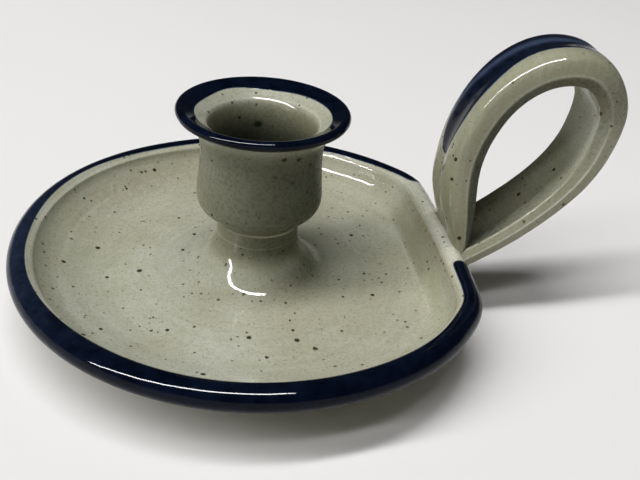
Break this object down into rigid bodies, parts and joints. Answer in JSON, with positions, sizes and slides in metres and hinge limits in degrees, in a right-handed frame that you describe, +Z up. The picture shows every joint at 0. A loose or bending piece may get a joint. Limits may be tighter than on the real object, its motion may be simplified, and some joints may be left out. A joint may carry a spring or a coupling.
{
  "type": "chamberstick",
  "caption": "Glazed stoneware chamberstick: a shallow drip dish with a raised candle cup in its middle and a strap handle bent into a finger loop over a dented rim.",
  "frame": {"origin": "on the table, at the middle of the foot ring and under the middle of the dish", "axes": "+Z up along the candle's axis, +X from the cup towards the handle, +Y to the handle's left"},
  "size_m": [0.1455, 0.12, 0.0706],
  "materials": {
    "celadon_glaze": "glossy grey-green glaze over iron-flecked stoneware, with small dark brown specks",
    "blue_glaze": "glossy dark cobalt blue brushed on, greyer where it is thin",
    "bare_clay": "unglazed fired stoneware, matt and slightly gritty"
  },
  "bodies": {
    "root": {"dish": "celadon_glaze", "foot_ring": "bare_clay", "stem": "celadon_glaze", "candle_cup": "celadon_glaze", "cup_joint": "celadon_glaze", "handle_strap": "celadon_glaze", "upper_handle_joint": "celadon_glaze", "lower_handle_joint": "celadon_glaze", "dish_rim_band": "blue_glaze", "cup_lip_band": "blue_glaze", "handle_stroke": "blue_glaze"}
  },
  "joints": []
}
